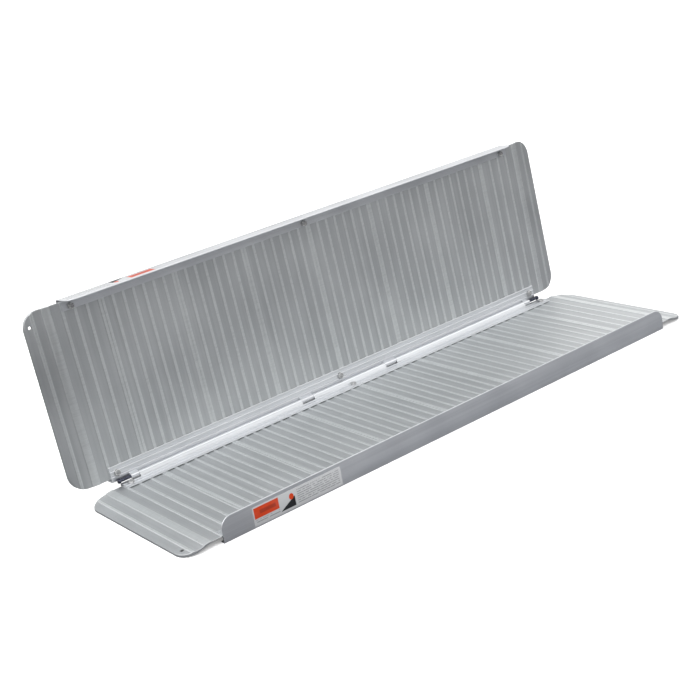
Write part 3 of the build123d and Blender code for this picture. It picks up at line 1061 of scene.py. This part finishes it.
def stickerPrint():
    # generic print without lettering: an orange block with a dark bar,
    # a pale square with a plain dark wedge and an orange spot, and rows of grey bars
    material, tree, shader = startMaterial("printedVinyl")
    uv = addNode(tree, "ShaderNodeUVMap", uv_map="printMap")
    split = addNode(tree, "ShaderNodeSeparateXYZ")
    tree.links.new(uv.outputs["UV"], split.inputs["Vector"])
    along, upward = split.outputs["X"], split.outputs["Y"]
    p = printed
    colour = mixed(tree, areaMask(tree, along, upward, p["orangeArea"]), p["paper"], p["orange"])
    pictureLeft, pictureRight, pictureLow, pictureHigh = p["pictureArea"]
    wedgeTop = pictureHigh * p["wedgeHeight"]
    slopeHeight = ranged(tree, along, pictureLeft, pictureRight, pictureLow, wedgeTop, "LINEAR")
    below = maths(tree, "LESS_THAN", upward, slopeHeight)
    wedge = maths(tree, "MULTIPLY", below, areaMask(tree, along, upward, p["pictureArea"]))
    colour = mixed(tree, wedge, colour, p["ink"])
    bar = maths(tree, "MULTIPLY", areaMask(tree, along, upward, p["barArea"], 0.008), p["barShade"])
    colour = mixed(tree, bar, colour, p["shade"])
    spotAlong, spotUp, spotWidth, spotHeight = p["spot"]
    across = maths(tree, "DIVIDE", maths(tree, "SUBTRACT", along, spotAlong), spotWidth)
    over = maths(tree, "DIVIDE", maths(tree, "SUBTRACT", upward, spotUp), spotHeight)
    reach = maths(tree, "ADD", maths(tree, "MULTIPLY", across, across), maths(tree, "MULTIPLY", over, over))
    colour = mixed(tree, ranged(tree, reach, 1.15, 0.85), colour, p["orange"])
    for area in (p["textArea"], p["stripArea"]):
        row = maths(tree, "FRACT", maths(tree, "MULTIPLY", upward, p["rows"]))
        bar = maths(tree, "MULTIPLY", ranged(tree, row, 0.42, 0.5), ranged(tree, row, 0.92, 0.84))
        words = stretchedNoise(tree, uv.outputs["UV"], (p["words"], p["rows"], 1), 0.0)
        bar = maths(tree, "MULTIPLY", bar, ranged(tree, words, 0.36, 0.42, 0.0, 0.75))
        inked = maths(tree, "MULTIPLY", bar, areaMask(tree, along, upward, area))
        colour = mixed(tree, inked, colour, p["grey"])
    coordinates = addNode(tree, "ShaderNodeTexCoord")
    speck = stretchedNoise(tree, coordinates.outputs["Object"], (900, 900, 900), 2.0)
    faded = stretchedNoise(tree, coordinates.outputs["Object"], (30, 30, 30), 3.0)
    colour = mixed(tree, ranged(tree, faded, 0.3, 0.75, 0.0, 0.05), colour, p["paper"])
    tree.links.new(colour, shader.inputs["Base Color"])
    tree.links.new(ranged(tree, faded, 0.3, 0.7, 0.32, 0.46), shader.inputs["Roughness"])
    shader.inputs["Specular IOR Level"].default_value = 0.3
    bumped(tree, shader, [(speck, 0.06, 0.00005)])
    return material


materials = {}


def dress(piece, half, kind, node):
    # gives a finished piece its material in its slot, and hides the CAD node that it stands for
    piece.data.materials.clear()
    piece.data.materials.append(materials[kind, half])
    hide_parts(node)


for half in halves:
    materials["deck", half] = deckMetal(half)
    materials["rail", half] = railMetal(half)
    materials["steel", half] = plainSteel(half, "ZincSteel", finishes["steelDark"], finishes["steelLight"])

# the pin and its caps ride on the lower half, so only that half has the near-black steel, painted as dark
# as the shade in the hinge slots
pinShade = finishes["pinShadeDark"], finishes["pinShadeLight"]
materials["shadeDarkSteel", "lower"] = plainSteel("lower", "ShadeBlackSteel", *pinShade)
materials["sticker", "lower"] = materials["sticker", "upper"] = stickerPrint()
print("materials made")

for half in halves:
    makePlanks(half)
    makeEndPlates(half)
    print(half, "deck made")
    makeCurbRail(half)
    makeHingeRail(half)
    makeFasteners(half)
    makeSticker(half)
    print(half, "rails and hardware made")
makePin()
print("hinge pin made")


stage = {
    "floorSize": 60.0,  # metres, as are all lengths here
    "floorDrop": 0.0002,
    "floorColour": (0.92, 0.92, 0.92),
    "floorRoughness": 0.9,
    "floorGlow": 0.25,
    "wallRadius": 27.0,
    "wallHeight": 25.0,
    "wallSides": 48,
    "wallSunk": 0.1,
    "underlayDrop": 0.0004,
    "underlayNear": (0.27, 0.275, 0.29),
    "underlayFar": (0.05, 0.05, 0.055),
    "underlayReach": (0.55, 1.9),  # the grey darkens between these distances from the middle
    "underlayMiddle": (0.45, -0.35, 0),
    "sky": 0.22,
}
cameraOnly = ("diffuse", "glossy", "transmission", "shadow")  # rays hidden from what only the camera sees

# soft patches of light in the sky: azimuth and elevation in degrees, half width in degrees, strength
glows = {
    "frontRight": (-45, 32, 42, 1.35),
    "frontLeft": (-135, 32, 42, 1.35),
    "front": (-90, 60, 45, 1.0),
    "leftHigh": (180, 60, 45, 1.6),
    "left": (180, 32, 42, 1.15),
    "backLeft": (135, 32, 42, 0.55),
    "back": (90, 32, 42, 0.55),
    "backRight": (45, 32, 42, 0.95),
    "right": (0, 32, 42, 0.35),
    "lowRight": (10, 6, 42, 0.6),
    "lowBack": (135, 6, 42, 0.2),
}


def makeFloor(name, drop, hidden):
    # one square a little below the ground, unseen by the hidden kinds of rays
    half = stage["floorSize"] / 2
    corners = [(-half, -half, -drop), (half, -half, -drop), (half, half, -drop), (-half, half, -drop)]
    mesh = bpy.data.meshes.new(name)
    mesh.from_pydata(corners, [], [(0, 1, 2, 3)])
    floor = bpy.data.objects.new(name, mesh)
    bpy.context.scene.collection.objects.link(floor)
    material, tree, shader = startMaterial(name)
    shader.inputs["Base Color"].default_value = (*stage["floorColour"], 1.0)
    shader.inputs["Roughness"].default_value = stage["floorRoughness"]
    shader.inputs["Specular IOR Level"].default_value = 0.0
    mesh.materials.append(material)
    for kind in hidden:
        setattr(floor, "visible_" + kind, False)
    return tree, shader


def makeBackdrop():
    # plain white wall round the floor, seen by the camera alone
    sides, radius = stage["wallSides"], stage["wallRadius"]
    turn = np.linspace(0, 2 * np.pi, sides, endpoint=False)
    circle = np.stack([radius * np.cos(turn), radius * np.sin(turn), np.zeros(sides)], -1)
    loops = np.stack([circle - [0, 0, stage["wallSunk"]], circle + [0, 0, stage["wallHeight"]]])
    mesh = bpy.data.meshes.new("backdrop")
    mesh.from_pydata(loops.reshape(-1, 3).tolist(), [], loopFaces(2, sides))
    wall = bpy.data.objects.new("backdrop", mesh)
    bpy.context.scene.collection.objects.link(wall)
    material, tree, shader = startMaterial("backdropWhite")
    shader.inputs["Base Color"].default_value = (0, 0, 0, 1)
    shader.inputs["Specular IOR Level"].default_value = 0.0
    shader.inputs["Emission Color"].default_value = (1, 1, 1, 1)
    shader.inputs["Emission Strength"].default_value = 1.0
    mesh.materials.append(material)
    for kind in cameraOnly:
        setattr(wall, "visible_" + kind, False)


def makePaleFloor():
    # the floor that the camera sees, faintly lit from within
    shader = makeFloor("paleFloor", stage["floorDrop"], cameraOnly)[1]
    shader.inputs["Emission Color"].default_value = (1, 1, 1, 1)
    shader.inputs["Emission Strength"].default_value = stage["floorGlow"]


def makeUnderlay():
    # the floor that the metal reflects: mid grey round the object, darker with the distance from it, a
    # painted pool of light
    tree, shader = makeFloor("underlay", stage["underlayDrop"], ("camera",))
    coordinates = addNode(tree, "ShaderNodeTexCoord")
    distance = addNode(tree, "ShaderNodeVectorMath", operation="DISTANCE")
    distance.inputs[1].default_value = stage["underlayMiddle"]
    tree.links.new(coordinates.outputs["Object"], distance.inputs[0])
    share = ranged(tree, distance.outputs["Value"], *stage["underlayReach"])
    colour = mixed(tree, share, stage["underlayNear"], stage["underlayFar"])
    tree.links.new(colour, shader.inputs["Base Color"])


def makeSky():
    # even light all round, and on it the soft glows: each fades out smoothly with the angle from its middle
    world = bpy.data.worlds.new("studio")
    world.use_nodes = True
    bpy.context.scene.world = world
    tree = world.node_tree
    background = tree.nodes["Background"]
    coordinates = addNode(tree, "ShaderNodeTexCoord")
    strength = None
    for azimuth, elevation, width, power in glows.values():
        a, e = np.radians(azimuth), np.radians(elevation)
        towards = (np.cos(e) * np.cos(a), np.cos(e) * np.sin(a), np.sin(e))
        product = addNode(tree, "ShaderNodeVectorMath", operation="DOT_PRODUCT")
        product.inputs[1].default_value = towards
        tree.links.new(coordinates.outputs["Generated"], product.inputs[0])
        glow = ranged(tree, product.outputs["Value"], np.cos(np.radians(width)), 1.0, 0.0, power)
        strength = maths(tree, "ADD", glow, stage["sky"] if strength is None else strength)
    tree.links.new(strength, background.inputs["Strength"])
    background.inputs["Color"].default_value = (1.0, 1.0, 1.0, 1.0)


def aimed(place, aim, roll=0.0):
    # looks along -Z from place to aim, turned by roll degrees about that line
    look = (Vector(aim) - Vector(place)).to_track_quat("-Z", "Y").to_matrix().to_4x4()
    return Matrix.Translation(place) @ look @ Matrix.Rotation(np.radians(roll), 4, "Z")


camera = {
    "place": (-1.4491, -1.9849, 0.9778),
    "direction": (0.53486, 0.77861, -0.32815),
    "roll": -10.31,
    "lens": 71.01,
    "sensor": 36.0,
    "far": 50.0,
}


def makeCamera():
    data = bpy.data.cameras.new("camera")
    data.lens = camera["lens"]
    data.sensor_width = camera["sensor"]
    data.clip_end = camera["far"]
    view = bpy.data.objects.new("camera", data)
    aim = Vector(camera["place"]) + Vector(camera["direction"])
    view.matrix_world = aimed(camera["place"], aim, camera["roll"])
    bpy.context.scene.collection.objects.link(view)
    bpy.context.scene.camera = view


makePaleFloor()
makeBackdrop()
makeUnderlay()
makeSky()
makeCamera()
bpy.context.scene.view_settings.view_transform = "Standard"
print("stage made")
